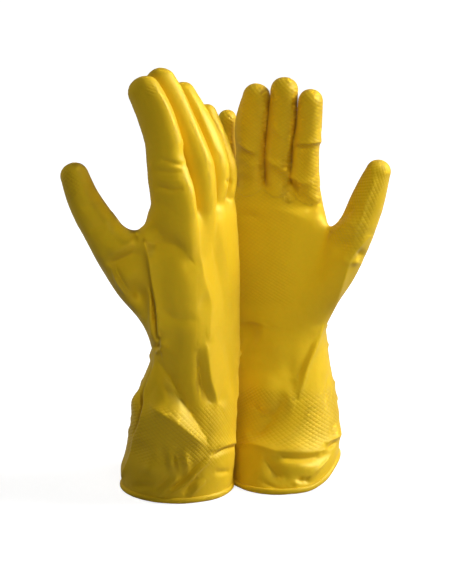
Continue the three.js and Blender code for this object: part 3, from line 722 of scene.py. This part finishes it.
def heights(glove, world, normals, distances):
    """How far each point moves along its normal."""
    view = view_coords(world)
    face = ramp(dots(unit(EYE - world), normals), start=-0.12, over=0.3)  # 1 facing the camera
    share = shares(distances, softness=1.2)
    scale, seed = glove.spec["fold_scale"], glove.spec["seed"]
    height = np.zeros(len(world))
    for parts, fold in front_folds(glove.name, view):
        carried = sum(share[:, PART_LETTERS.index(letter)] for letter in parts)
        height += scale * fold * carried * face

    # round the back and sides: slack folds in the gauntlet and across the wrist
    broad, small, drift = Noise(11 + seed), Noise(21 + seed), Noise(31 + seed)
    local = glove.to_local(world)
    angle, z = np.arctan2(local[:, 1], local[:, 0]), local[:, 2]
    tube = np.column_stack([36.0 * np.cos(angle), 36.0 * np.sin(angle), z])
    warp = 9 * drift(tube / 31.0)
    # sheared lattices, so that the folds run aslant; a fold lies where the noise crosses zero
    broad_noise = broad(np.column_stack(
        [(tube[:, 0] + 0.8 * z) / 30, (tube[:, 1] - 0.6 * z) / 30, (z + warp) / 17.0]))
    small_noise = small(np.column_stack(
        [(tube[:, 0] - 0.7 * z) / 17, (tube[:, 1] + 0.5 * z) / 17, (z - 1.4 * warp) / 12.0]))
    broad_gap, small_gap = (np.sqrt(v * v + 0.004) - 0.02 for v in (broad_noise, small_noise))
    rise = 1 - broad_gap * 2.2
    hollow = -0.3 * (1 - np.exp(-2.5 * rise ** 2))
    crest = np.where(rise > 0, np.clip(rise, 0, 1) ** 3, hollow)
    fine = np.clip(1 - small_gap * 2.4, 0, 1) ** 2
    slack = ramp(z, start=128, over=-30) * 0.8 + 0.2
    cuff = bell(z, at=66, width=34.0) * 0.7 + bell(z, at=108, width=15.0) * 0.8
    back = (1 - face) * share[:, 0]
    height += back * (2.7 * crest * cuff * slack + 1.0 * fine * cuff)
    # soft unevenness of the body, and a faint ripple everywhere
    height += share[:, 0] * (0.35 + 0.65 * (1 - face)) * 0.5 * small(tube / 21.0 + 7.0)
    height += 0.10 * drift(world / 6.5 + 3.0) + 0.05 * broad(world / 3.1)

    # creases where the digits bend, all round: (distance from the joint, strength)
    lines = ((0.0, 1.0), (3.4, -0.6), (-3.2, -0.6), (6.6, 0.4))
    for i, name in enumerate(DIGITS):
        digit = glove.digit[name]
        mine = share[:, i + 1] > 0.05
        along = digit.locate(local[mine])
        wobble = 1.4 * broad(world[mine] / 9.0 + i * 5.0)
        for key, depth in (("root", 0.10), ("middle", 0.12)):
            place = joint_place(f"{glove.name}_{name}_{key}_bend")
            past = along - digit.locate(glove.to_local(place[None]))[0]
            for offset, strength in lines:
                patchy = 0.5 + 0.5 * drift(world[mine] / 12.0 + offset)
                line = bell(past + wobble, at=offset, width=1.5)
                height[mine] -= depth * strength * share[mine, i + 1] * line * patchy
    # the hem keeps its height and runs smoothly
    return height * (0.35 + 0.65 * ramp(z, start=2.0, over=9.0))


def erode(values, edges, rounds):
    for _ in range(rounds):
        lowest = values.copy()
        np.minimum.at(lowest, edges[:, 0], values[edges[:, 1]])
        np.minimum.at(lowest, edges[:, 1], values[edges[:, 0]])
        values = lowest
    return values


# ---------------------------------------------------------------- grip
def grip_cells(x, y):
    """Rounded lozenges between two families of grooves: 0 in a groove, 1 on a crown."""
    cells = 1.0
    for degrees, pitch, depth in GRIP:
        turn = math.radians(degrees)
        wave = np.abs(np.sin(math.pi * (x * math.cos(turn) + y * math.sin(turn)) / pitch))
        cells = cells * (1 - depth + depth * wave)
    return cells ** GRIP_POWER


def finger_grip(glove, name, local, palm, normal_x, view):
    """Strength of the grip on a finger; it wraps round further at the tip."""
    digit = glove.digit[name]
    tip = ramp(digit.locate(local), start=digit.length - 16, over=10)
    lean = 0.9 * normal_x if glove.name == "far" else 0.0
    side = ramp(palm + lean, start=0.15 - 0.4 * tip, over=0.35)
    if (glove.name, name) != ("near", "index"):
        return side * ramp(local[:, 2], start=150, over=10)
    # the side towards the thumb carries only a patch near the tip
    from_patch = np.hypot(view[:, 0] + 51.8, view[:, 1] - 140.9)
    return np.maximum(side * ramp(palm, start=0.3, over=0.3),
                      0.8 * ramp(from_patch, start=7.0, over=-5))


def thumb_grip(glove, local, normals, ragged, view):
    """Strength on the thumb, and its coordinates round and along it."""
    digit = glove.digit["thumb"]
    along = digit.locate(local)
    centre, across, through = digit.rows_at(
        np.clip(along, 0, digit.length), digit.centre, digit.across, digit.through)
    offset = local - centre
    pad = np.array([-0.35, 0.9, 0.25])  # the way the ball of the thumb faces
    angle = np.arctan2(dots(offset, through), dots(offset, across))
    pad_angle = math.atan2(float(np.mean(through @ pad)), float(np.mean(across @ pad)))
    angle = (angle - pad_angle + math.pi) % (2 * math.pi) - math.pi
    tip = ramp(along, start=digit.length - 16, over=12)
    least, relaxed, share = glove.spec["thumb_grip"]
    grip = (ramp(normals @ unit(pad), start=least - relaxed * tip, over=0.3)
            * ramp(along + ragged, start=digit.length * share, over=6))
    if glove.name == "near":
        # a patch on the side seen from the front
        from_patch = np.hypot(1.25 * (view[:, 0] + 112.0), view[:, 1] - 74.5)
        grip = np.maximum(grip, ramp(from_patch - ragged, start=12.0, over=-5))
    return grip, np.column_stack([angle * THUMB_RADIUS, along])


def grip_layout(glove, world, normals, distances):
    """Where the pattern runs and its coordinates in millimetres."""
    local, view = glove.to_local(world), view_coords(world)
    facing = np.column_stack(
        [normals[:, :2] @ glove.thumbward, normals[:, :2] @ glove.palmward, normals[:, 2]])
    part = distances.argmin(1)
    x, z = local[:, 0], local[:, 2]
    patches = Noise(41)
    ragged = 3.0 * patches(world / 11.0)
    # the palm and the palmar side of the fingers, laid out flat
    uv = np.column_stack([-x if glove.name == "near" else x, z])
    grip = ramp(facing[:, 1], start=0.22, over=0.35) * ramp(z + ragged, start=128, over=10)
    palm = ramp(x + ragged, start=-42, over=8) * ramp(x + ragged, start=26, over=-14)
    grip = np.where(part == 0, grip * palm, grip)
    for i, name in enumerate(DIGITS[:4]):
        mine = part == i + 1
        grip[mine] = finger_grip(
            glove, name, local[mine], facing[mine, 1], normals[mine, 0], view[mine])
    # the rows lie steeper on the fingers than on the palm
    mine = (part > 0) & (part < 5)
    cos, sin = math.cos(math.radians(13.0)), math.sin(math.radians(13.0))
    uv[mine] = uv[mine] @ np.array([[cos, sin], [-sin, cos]])
    mine = part == 5
    grip[mine], uv[mine] = thumb_grip(glove, local[mine], facing[mine], ragged[mine], view[mine])
    # a patchy band round the cuff
    mine = (part == 0) & (z < 100)
    angle, edge = np.arctan2(local[mine, 1], x[mine]), 1.6 * ragged[mine]
    patchy = 0.55 + 0.45 * smooth(0.5 + 0.9 * patches(world[mine] / 23.0 + 9.0))
    band = ramp(z[mine] + edge, start=26, over=7) * ramp(z[mine] - edge, start=74, over=-9)
    grip[mine] = band * patchy
    uv[mine] = np.column_stack([angle * CUFF_TURN / (2 * math.pi), z[mine]])
    return grip, uv


def build(name):
    glove = Glove(name)
    spread_pose, quads, coarse_count, coarse, fixed = make_surface(glove)
    smooth_skin = glove.to_world(glove.unspread(spread_pose))
    distances = np.stack(glove.distances(spread_pose), 1)
    normals = vertex_normals(smooth_skin, quads)
    edges, _ = edges_of(quads)
    for _ in range(3):
        normals = unit(normals + neighbours_mean(normals, edges))
    height = heights(glove, smooth_skin, normals, distances)
    # the lining follows the folds without reaching through the sharpest of them
    lining_height = erode(height, edges, 6)
    for _ in range(3):
        mean = neighbours_mean(lining_height[:, None], edges)[:, 0]
        lining_height = np.minimum(lining_height, 0.5 * lining_height + 0.5 * mean)
    skin = smooth_skin + normals * height[:, None]
    skin[fixed, 2] = RIM_Z
    for _ in range(2):
        shift = neighbours_mean(skin, edges) - skin
        shift[fixed] = 0
        skin = skin + 0.35 * shift
    inner = smooth_skin + normals * lining_height[:, None]
    inner[fixed, 2] = RIM_Z
    if name == "far":
        # the hem rises towards the right
        for points in (skin, inner):
            across = view_coords(points)[:, 0]
            lift = 9.0 * ramp(across, start=58, over=28) + 5.0 * ramp(across, start=71, over=12)
            points[:, 2] += lift * ramp(points[:, 2], start=RIM_Z + 48, over=-48)
    shade = vertex_normals(skin, quads)
    grip, uv = grip_layout(glove, smooth_skin, normals, distances)
    relief = GRIP_HEIGHT * grip * (grip_cells(uv[:, 0], uv[:, 1]) - 0.5)
    return SimpleNamespace(
        glove=glove, skin=skin + shade * relief[:, None], normals=shade, inner=inner,
        quads=quads, coarse=coarse, coarse_count=coarse_count, fixed=fixed,
        nearest=distances.argmin(1), grip=grip, uv=uv)


# ---------------------------------------------------------------- materials
def new_material(name):
    material = bpy.data.materials.new(name)
    material.use_nodes = True
    material.node_tree.nodes.clear()
    return material, material.node_tree


def add_node(tree, kind, inputs=None, **settings):
    """A node with its settings, and each input given a value or linked to a socket."""
    node = tree.nodes.new(kind)
    for key, value in settings.items():
        setattr(node, key, value)
    for key, value in (inputs or {}).items():
        if isinstance(value, bpy.types.NodeSocket):
            tree.links.new(value, node.inputs[key])
        else:
            node.inputs[key].default_value = value
    return node


def add_noise(tree, coords, scale, detail):
    inputs = {"Vector": coords, "Scale": scale, "Detail": detail}
    return add_node(tree, "ShaderNodeTexNoise", inputs)


def add_colour_ramp(tree, factor, colours, positions=(0.0, 1.0)):
    node = add_node(tree, "ShaderNodeValToRGB", {"Fac": factor})
    for element, colour, position in zip(node.color_ramp.elements, colours, positions):
        element.position = position
        element.color = colour
    return node.outputs[0]


def add_multiply(tree, factor, base, tint):
    # sockets 6, 7 and output 2 are the colour ones
    return add_node(tree, "ShaderNodeMix", {"Factor": factor, 6: base, 7: tint},
                    data_type="RGBA", blend_type="MULTIPLY").outputs[2]


def add_math(tree, operation, *values):
    inputs = dict(enumerate(values))
    return add_node(tree, "ShaderNodeMath", inputs, operation=operation).outputs[0]


def add_surface(tree, inputs):
    bsdf = add_node(tree, "ShaderNodeBsdfPrincipled", inputs)
    add_node(tree, "ShaderNodeOutputMaterial", {"Surface": bsdf.outputs[0]})


def add_grip_cells(tree):
    """The same lozenges as grip_cells, from the grip coordinates."""
    uv = add_node(tree, "ShaderNodeUVMap", uv_map="grip_uv").outputs[0]
    x, y, _ = add_node(tree, "ShaderNodeSeparateXYZ", {0: uv}).outputs
    cells = None
    for degrees, pitch, depth in GRIP:
        turn = math.radians(degrees)
        across = add_math(tree, "ADD",
                          add_math(tree, "MULTIPLY", x, math.pi * math.cos(turn) / pitch),
                          add_math(tree, "MULTIPLY", y, math.pi * math.sin(turn) / pitch))
        wave = add_math(tree, "ABSOLUTE", add_math(tree, "SINE", across))
        wave = add_math(tree, "ADD", add_math(tree, "MULTIPLY", wave, depth), 1 - depth)
        cells = wave if cells is None else add_math(tree, "MULTIPLY", cells, wave)
    return add_math(tree, "POWER", cells, GRIP_POWER)


def latex_material():
    material, tree = new_material("yellow_latex")
    coords = add_node(tree, "ShaderNodeTexCoord").outputs["Object"]
    # slow drift of the dye and finer mottling
    drift = add_noise(tree, coords, scale=14, detail=3).outputs["Fac"]
    dye = add_colour_ramp(tree, drift, positions=(0.3, 0.72),
                          colours=((0.73, 0.455, 0.009, 1), (0.83, 0.535, 0.013, 1)))
    mottling = add_noise(tree, coords, scale=420, detail=4).outputs["Color"]
    mottled = add_multiply(tree, 0.10, base=dye, tint=mottling)
    roughness = add_node(tree, "ShaderNodeMapRange",
                         {"Value": drift, "To Min": 0.42, "To Max": 0.52}).outputs[0]
    # dipped-rubber orange peel, and the crispness of the embossed grip
    peel = add_node(tree, "ShaderNodeBump", {
        "Strength": 0.16, "Distance": 0.0004,
        "Height": add_noise(tree, coords, scale=900, detail=3).outputs["Fac"]})
    cells = add_grip_cells(tree)
    grip = add_node(tree, "ShaderNodeAttribute", attribute_name="grip").outputs["Fac"]
    bump = add_node(tree, "ShaderNodeBump", {
        "Strength": 1.0, "Distance": GRIP_BUMP,
        "Height": add_math(tree, "MULTIPLY", cells, grip), "Normal": peel.outputs[0]}).outputs[0]
    # painted shade: the base colour is darkened in the grooves of the grip, where shade would fall
    groove_shade = add_math(tree, "MULTIPLY", add_math(tree, "SUBTRACT", 1.0, cells), grip)
    colour = add_multiply(tree, add_math(tree, "MULTIPLY", groove_shade, 0.16),
                          base=mottled, tint=(0.55, 0.42, 0.25, 1))
    add_surface(tree, {
        "Base Color": colour, "Roughness": roughness, "Normal": bump, "Coat Normal": bump,
        "Specular IOR Level": 0.6, "Specular Tint": (1.0, 0.97, 0.30, 1),
        "Coat Weight": 0.02, "Coat Roughness": 0.22,
        "Sheen Weight": 0.04, "Sheen Roughness": 0.45, "Sheen Tint": (1.0, 0.97, 0.86, 1)})
    return material


def flock_material():
    material, tree = new_material("cotton_flock")
    coords = add_node(tree, "ShaderNodeTexCoord").outputs["Object"]
    fibres = add_noise(tree, coords, scale=1400, detail=6).outputs["Fac"]
    colour = add_colour_ramp(tree, fibres, ((0.62, 0.43, 0.12, 1), (0.93, 0.80, 0.46, 1)))
    bump = add_node(tree, "ShaderNodeBump",
                    {"Strength": 0.5, "Distance": 0.0003, "Height": fibres}).outputs[0]
    add_surface(tree, {
        "Base Color": colour, "Roughness": 0.95, "Specular IOR Level": 0.1,
        "Sheen Weight": 0.5, "Normal": bump})
    return material


LATEX_MATERIAL, FLOCK_MATERIAL = latex_material(), flock_material()


# ---------------------------------------------------------------- objects
def mesh_object(name, points, faces, uv, material, grip=None, normals=None):
    mesh = bpy.data.meshes.new(name)
    mesh.vertices.add(len(points))
    mesh.vertices.foreach_set("co", (points * MM).astype(np.float32).ravel())
    faces = np.asarray(faces, np.int32)
    mesh.loops.add(faces.size)
    mesh.loops.foreach_set("vertex_index", faces.ravel())
    mesh.polygons.add(len(faces))
    mesh.polygons.foreach_set("loop_start", np.arange(0, faces.size, 4, dtype=np.int32))
    mesh.polygons.foreach_set("loop_total", np.full(len(faces), 4, np.int32))
    mesh.update()
    mesh.validate()
    mesh.polygons.foreach_set("use_smooth", np.ones(len(mesh.polygons), bool))
    layer = mesh.uv_layers.new(name="grip_uv")
    # a face across the seam of the cuff or thumb takes its low corners one turn further
    corners = uv[faces]
    round_it = corners[..., 0]
    highest = round_it.max(1)
    span = highest - round_it.min(1)
    turn = np.where(span > 130, CUFF_TURN, THUMB_TURN)
    behind = (span > 35)[:, None] & (round_it < highest[:, None] - 0.5 * turn[:, None])
    corners[..., 0] += np.where(behind, turn[:, None], 0.0)
    layer.data.foreach_set("uv", corners.astype(np.float32).ravel())
    if grip is not None:
        attribute = mesh.attributes.new("grip", "FLOAT", "POINT")
        attribute.data.foreach_set("value", grip.astype(np.float32))
    if normals is not None:
        mesh.normals_split_custom_set_from_vertices(normals.astype(np.float32))
    mesh.materials.append(material)
    made = bpy.data.objects.new(name, mesh)
    bpy.context.scene.collection.objects.link(made)
    return made


def sheet(name, points, normals, quads, depths, uv, material, grip=None):
    """A closed sheet between two depths under a surface."""
    used = np.unique(quads)
    count = len(used)
    renumber = np.full(len(points), -1)
    renumber[used] = np.arange(count)
    front = renumber[quads]
    edges = boundary_edges(front)
    start, end = edges.T
    rim = np.stack([end, start, start + count, end + count], 1)
    points, normals = points[used], normals[used]
    return mesh_object(
        name, np.concatenate([points - depth * normals for depth in depths]),
        np.concatenate([front, front[:, ::-1] + count, rim]),
        np.concatenate([uv[used]] * 2), material,
        None if grip is None else np.concatenate([grip[used]] * 2),
        np.concatenate([normals, -normals]))


# ---------------------------------------------------------------- the pieces, cut at the bends
CUT_MARGIN = 0.8  # how far below its bend a piece is cut


def digit_bends(parts, name):
    """Centre, direction and half-length of the bends at a digit's root and middle."""
    glove, quads = parts.glove, parts.quads
    digit = glove.digit[name]
    places, runs = [], []
    for key in ("root", "middle"):
        joint = f"{glove.name}_{name}_{key}_bend"
        place, axis = joint_place(joint), np.array(JOINTS[joint]["axis"])
        along = digit.locate(glove.to_local(place[None]))[0]
        run = glove.direction_to_world(interp_rows(along, digit.along, digit.run))
        places.append(place)
        runs.append(unit(run - (run @ axis) * axis))
    mine = parts.nearest[quads[:, 0]] == DIGITS.index(name) + 1
    seam = np.intersect1d(quads[mine], quads[~mine])
    # the root's bend starts past the seam with the hand and ends before the middle's
    reach = float(((parts.skin[seam] - places[0]) @ runs[0]).max()) if len(seam) else -99.0
    middle_half = 10.0 if name == "thumb" else 11.0
    limit = float((places[1] - places[0]) @ runs[0]) - middle_half - 0.9
    start = min(max(-9.0, reach - 0.4), limit - 10.0)
    root_half = 0.5 * (min(start + 18.0, limit) - start)
    root = places[0] + (start + root_half) * runs[0]
    return (root, runs[0], root_half), (places[1], runs[1], middle_half)


def make_pieces(parts):
    name, quads = parts.glove.name, parts.quads
    inner_normals = vertex_normals(parts.inner, quads)
    centres = parts.skin[quads].mean(1)
    nearest = parts.nearest[quads[:, 0]]
    piece = np.zeros(len(quads), int)
    # label, bodies it stands for, the two bodies it bends between, and the bend
    wrist = (joint_place(f"{name}_wrist_bend"), np.array([0, 0, 1.0]), 17.0)
    pieces = [("hand_and_cuff", ("cuff", "palm"), "cuff", "palm", wrist)]
    for i, digit in enumerate(DIGITS):
        root, middle = digit_bends(parts, digit)
        past_root, past_middle = (
            (centres - place) @ run > -half - CUT_MARGIN for place, run, half in (root, middle))
        mine = nearest == i + 1
        piece[mine & past_root & ~past_middle] = 1 + 2 * i
        piece[mine & past_middle] = 2 + 2 * i
        base, tip = f"{digit}_base", f"{digit}_tip"
        pieces += [(base, (base,), "palm", base, root), (tip, (tip,), base, tip, middle)]
    # the coarse quads, for the lining, are the parents of the first fine quads
    coarse_piece = piece[:len(parts.coarse)]
    count = parts.coarse_count
    for k, (label, bodies, below, above, (place, run, half)) in enumerate(pieces):
        latex = sheet(f"{name}_{label}_latex", parts.skin, parts.normals, quads[piece == k],
                      (0.0, LATEX), parts.uv, LATEX_MATERIAL, parts.grip)
        flock = sheet(f"{name}_{label}_flock", parts.inner[:count], inner_normals[:count],
                      parts.coarse[coarse_piece == k], (LINING_OUT, LINING_IN),
                      parts.uv[:count], FLOCK_MATERIAL)
        for made, layer, slot in ((latex, "skin", "latex_skin"), (flock, "lining", "flock_lining")):
            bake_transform(made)
            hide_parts(*[f"{name}_{body}_{layer}" for body in bodies])


def make_bead(parts):
    """The rolled bead round the hem: an uneven tube along the rim of the skin."""
    stations, sides = 300, 16
    glove = parts.glove
    edges = boundary_edges(parts.quads)
    edges = edges[np.isin(edges[:, 0], np.flatnonzero(parts.fixed))]
    following = dict(edges.tolist())
    rim = [int(edges[0, 0])]
    while following[rim[-1]] != rim[0]:
        rim.append(following[rim[-1]])
    rim.append(rim[0])
    corners = parts.skin[rim]
    flat = parts.normals[rim]
    flat[:, 2] = 0
    flat = unit(flat)
    # even steps round the rim
    lengths = np.linalg.norm(np.diff(corners, axis=0), axis=1)
    travelled = np.concatenate([[0], np.cumsum(lengths)])
    around = travelled[-1]
    steps = np.linspace(0, around, stations, endpoint=False)
    path = interp_rows(steps, travelled, corners)
    flat = unit(interp_rows(steps, travelled, flat))
    kernel = np.array([1, 2, 3, 2, 1]) / 9
    for _ in range(6):
        for k in range(3):
            wrapped = np.concatenate([path[-2:, k], path[:, k], path[:2, k]])
            path[:, k] = np.convolve(wrapped, kernel, "valid")
    run = np.roll(path, -2, 0) - np.roll(path, 2, 0)
    zeros = 0 * steps
    out = unit(np.column_stack([run[:, 1], -run[:, 0], zeros]))
    out = out * (1.0 if dots(out, flat).sum() > 0 else -1.0)
    noise = Noise(77 + glove.spec["seed"])
    turn = 2 * np.pi * steps / around
    circle = around / (2 * np.pi) * np.column_stack([np.cos(turn), np.sin(turn)])
    mean_radius = 1.75 + 0.18 * noise(np.column_stack([circle / 17, zeros + 3]))
    rows = []
    for angle in 2 * np.pi * np.arange(sides) / sides:
        cos, sin = math.cos(angle), math.sin(angle)
        squash = 0.98 if sin < 0 else 1.06
        uneven = noise(np.column_stack([circle / 5, zeros + 2 * cos]) + 2 * sin)
        radius = mean_radius * (1 + 0.05 * uneven)
        row = path - 0.2 * out + (radius * cos)[:, None] * out
        row[:, 2] += 1.25 * radius * sin * squash
        rows.append(row)
    points = np.stack(rows, 1).reshape(-1, 3)
    points[:, 2] = np.maximum(points[:, 2], 0.02)
    faces = []
    for i in range(stations):
        here, there = i * sides, (i + 1) % stations * sides
        for k in range(sides):
            after = (k + 1) % sides
            faces.append([here + k, here + after, there + after, there + k])
    faces = np.array(faces)
    # face outwards
    outward = points[faces].mean(1) - np.repeat(path, sides, axis=0)
    if dots(quad_normals(points, faces), outward).sum() < 0:
        faces = faces[:, ::-1]
    count = len(points)
    bead = mesh_object(f"{glove.name}_cuff_bead_latex", points, faces,
                       np.zeros((count, 2)), LATEX_MATERIAL, np.zeros(count))
    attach(bead, f"{glove.name}_cuff")
    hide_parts(f"{glove.name}_cuff_bead")


for glove_name in ("near", "far"):
    glove_parts = build(glove_name)
    make_pieces(glove_parts)
    make_bead(glove_parts)


# ---------------------------------------------------------------- stage, in metres
scene = bpy.context.scene


def make_floor():
    mesh = bpy.data.meshes.new("floor")
    half = 14.0
    corners = [(-half, -half, 0), (half, -half, 0), (half, half, 0), (-half, half, 0)]
    mesh.from_pydata(corners, [], [(0, 1, 2, 3)])
    floor = bpy.data.objects.new("floor", mesh)
    scene.collection.objects.link(floor)
    material, tree = new_material("pale_floor")
    bounced = add_node(tree, "ShaderNodeBsdfDiffuse", {"Color": (0.34, 0.34, 0.34, 1)})
    seen = add_node(tree, "ShaderNodeBsdfDiffuse", {"Color": (0.42, 0.42, 0.42, 1)})
    # the sweep glows evenly away from the object, and keeps a faint contact shadow near it
    coords = add_node(tree, "ShaderNodeTexCoord").outputs["Object"]
    away = add_node(tree, "ShaderNodeVectorMath", {0: coords}, operation="LENGTH")
    strength = add_node(tree, "ShaderNodeMapRange", {
        "Value": away.outputs["Value"], "From Min": 0.25, "From Max": 0.7,
        "To Min": 0.86, "To Max": 1.0})
    glow = add_node(tree, "ShaderNodeEmission",
                    {"Color": (1, 1, 1, 1), "Strength": strength.outputs[0]})
    lit = add_node(tree, "ShaderNodeAddShader", {0: seen.outputs[0], 1: glow.outputs[0]})
    camera_ray = add_node(tree, "ShaderNodeLightPath").outputs["Is Camera Ray"]
    mixed = add_node(tree, "ShaderNodeMixShader",
                     {0: camera_ray, 1: bounced.outputs[0], 2: lit.outputs[0]})
    add_node(tree, "ShaderNodeOutputMaterial", {"Surface": mixed.outputs[0]})
    mesh.materials.append(material)


def make_world():
    """White to the camera, a dim fill to everything else."""
    world = bpy.data.worlds.new("studio")
    scene.world = world
    world.use_nodes = True
    tree = world.node_tree
    background = tree.nodes["Background"]
    background.inputs["Color"].default_value = (1, 1, 1, 1)
    camera_ray = add_node(tree, "ShaderNodeLightPath").outputs["Is Camera Ray"]
    strength = add_node(tree, "ShaderNodeMapRange",
                        {"Value": camera_ray, "To Min": 0.11, "To Max": 1.0})
    tree.links.new(strength.outputs[0], background.inputs["Strength"])


def area_light(name, azimuth, elevation, size, power, radius=1.5, aim=(0, 0, 0.16)):
    """On a sphere round the object; azimuth 0 is the camera's side, 90 the right."""
    light = bpy.data.lights.new(name, "AREA")
    light.energy = power
    light.shape = "RECTANGLE"
    light.size, light.size_y = size
    lamp = bpy.data.objects.new(name, light)
    scene.collection.objects.link(lamp)
    turn, rise = math.radians(azimuth), math.radians(elevation)
    place = (radius * math.cos(rise) * math.sin(turn),
             -radius * math.cos(rise) * math.cos(turn),
             0.16 + radius * math.sin(rise))
    lamp.location = place
    lamp.rotation_euler = (Vector(aim) - Vector(place)).to_track_quat("-Z", "Y").to_euler()
    return lamp


def make_lights():
    area_light("side", azimuth=95, elevation=33, size=(0.6, 0.75), power=30.5)
    # two overlapping gridded softboxes in front, brighter towards the left
    for aim_x, power in ((-0.02, 0.075), (0.12, 0.052)):
        lamp = area_light("grid", azimuth=14, elevation=30, radius=1.3, size=(0.16, 0.21),
                          power=power, aim=(aim_x, 0.02, 0.16))
        lamp.data.spread = math.radians(19.2)
        lamp.visible_glossy = False
    back = area_light("back", azimuth=-120, elevation=15, size=(0.5, 0.65), power=7.5)
    back.visible_glossy = False


def make_camera():
    lens = bpy.data.cameras.new("camera")
    lens.sensor_fit = "VERTICAL"
    lens.sensor_width = 36
    lens.sensor_height = 36
    lens.lens = 131.83362218
    lens.clip_start, lens.clip_end = 0.05, 60
    camera = bpy.data.objects.new("camera", lens)
    scene.collection.objects.link(camera)
    camera.location = tuple(EYE * MM)
    camera.rotation_euler = (math.radians(90 - VIEW_DIP), 0, 0)
    scene.camera = camera
    scene.view_settings.view_transform = "Standard"
    scene.view_settings.look = "None"
    scene.view_settings.exposure = 0.0


make_floor()
make_world()
make_lights()
make_camera()
